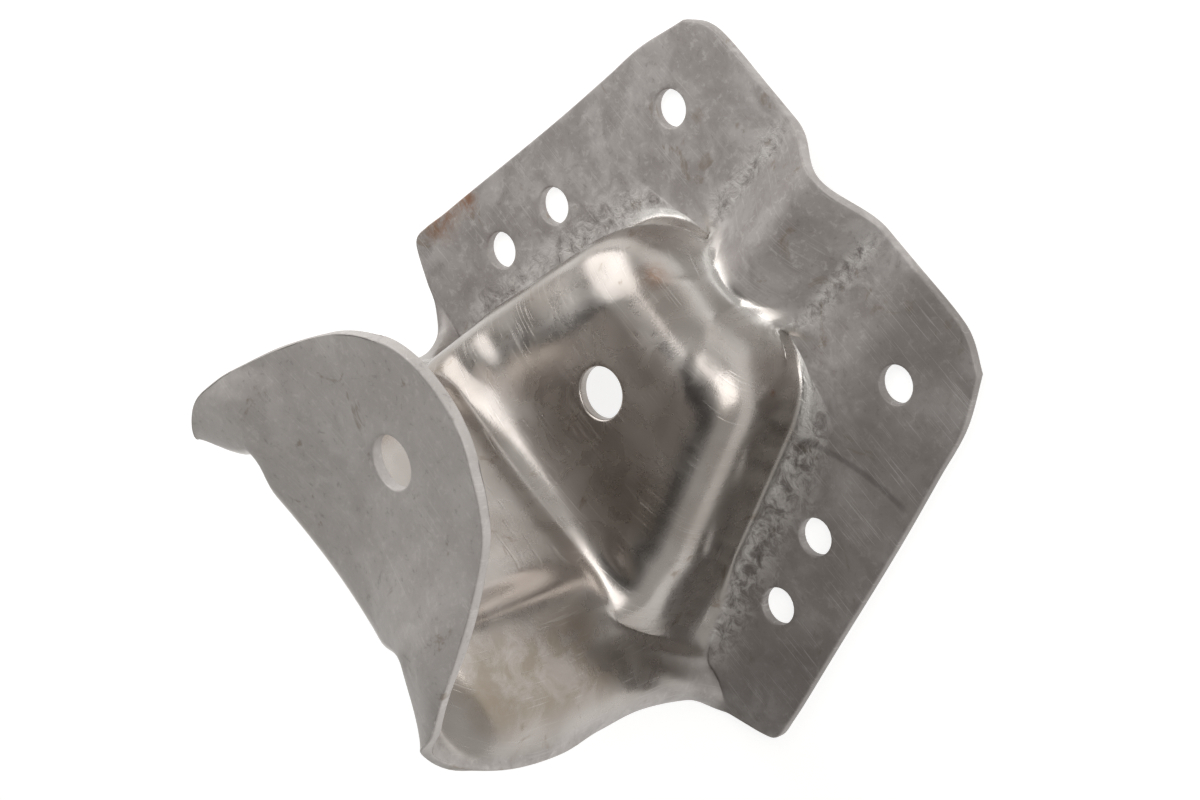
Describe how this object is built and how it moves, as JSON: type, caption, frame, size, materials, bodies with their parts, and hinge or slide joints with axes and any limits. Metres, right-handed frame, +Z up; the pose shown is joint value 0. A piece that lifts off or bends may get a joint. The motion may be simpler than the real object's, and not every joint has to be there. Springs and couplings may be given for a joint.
{
  "type": "pressed steel mounting bracket",
  "caption": "Pressed steel bracket: drilled flanges round a raised body, a back wall and a tongue folded over the body for a through bolt.",
  "frame": {"origin": "middle of the bracket's footprint, on the flanges' back face", "axes": "+Z up from the flanges toward the tongue; +X from the flanges' top edge toward the back wall; Y across, the bracket being the same on both sides of Y = 0"},
  "size_m": [0.1378, 0.172, 0.1145],
  "materials": {
    "steel": "bare pressed steel, matte on the flanges and burnished on the body"
  },
  "bodies": {
    "root": {"pressing": "steel"}
  },
  "joints": []
}
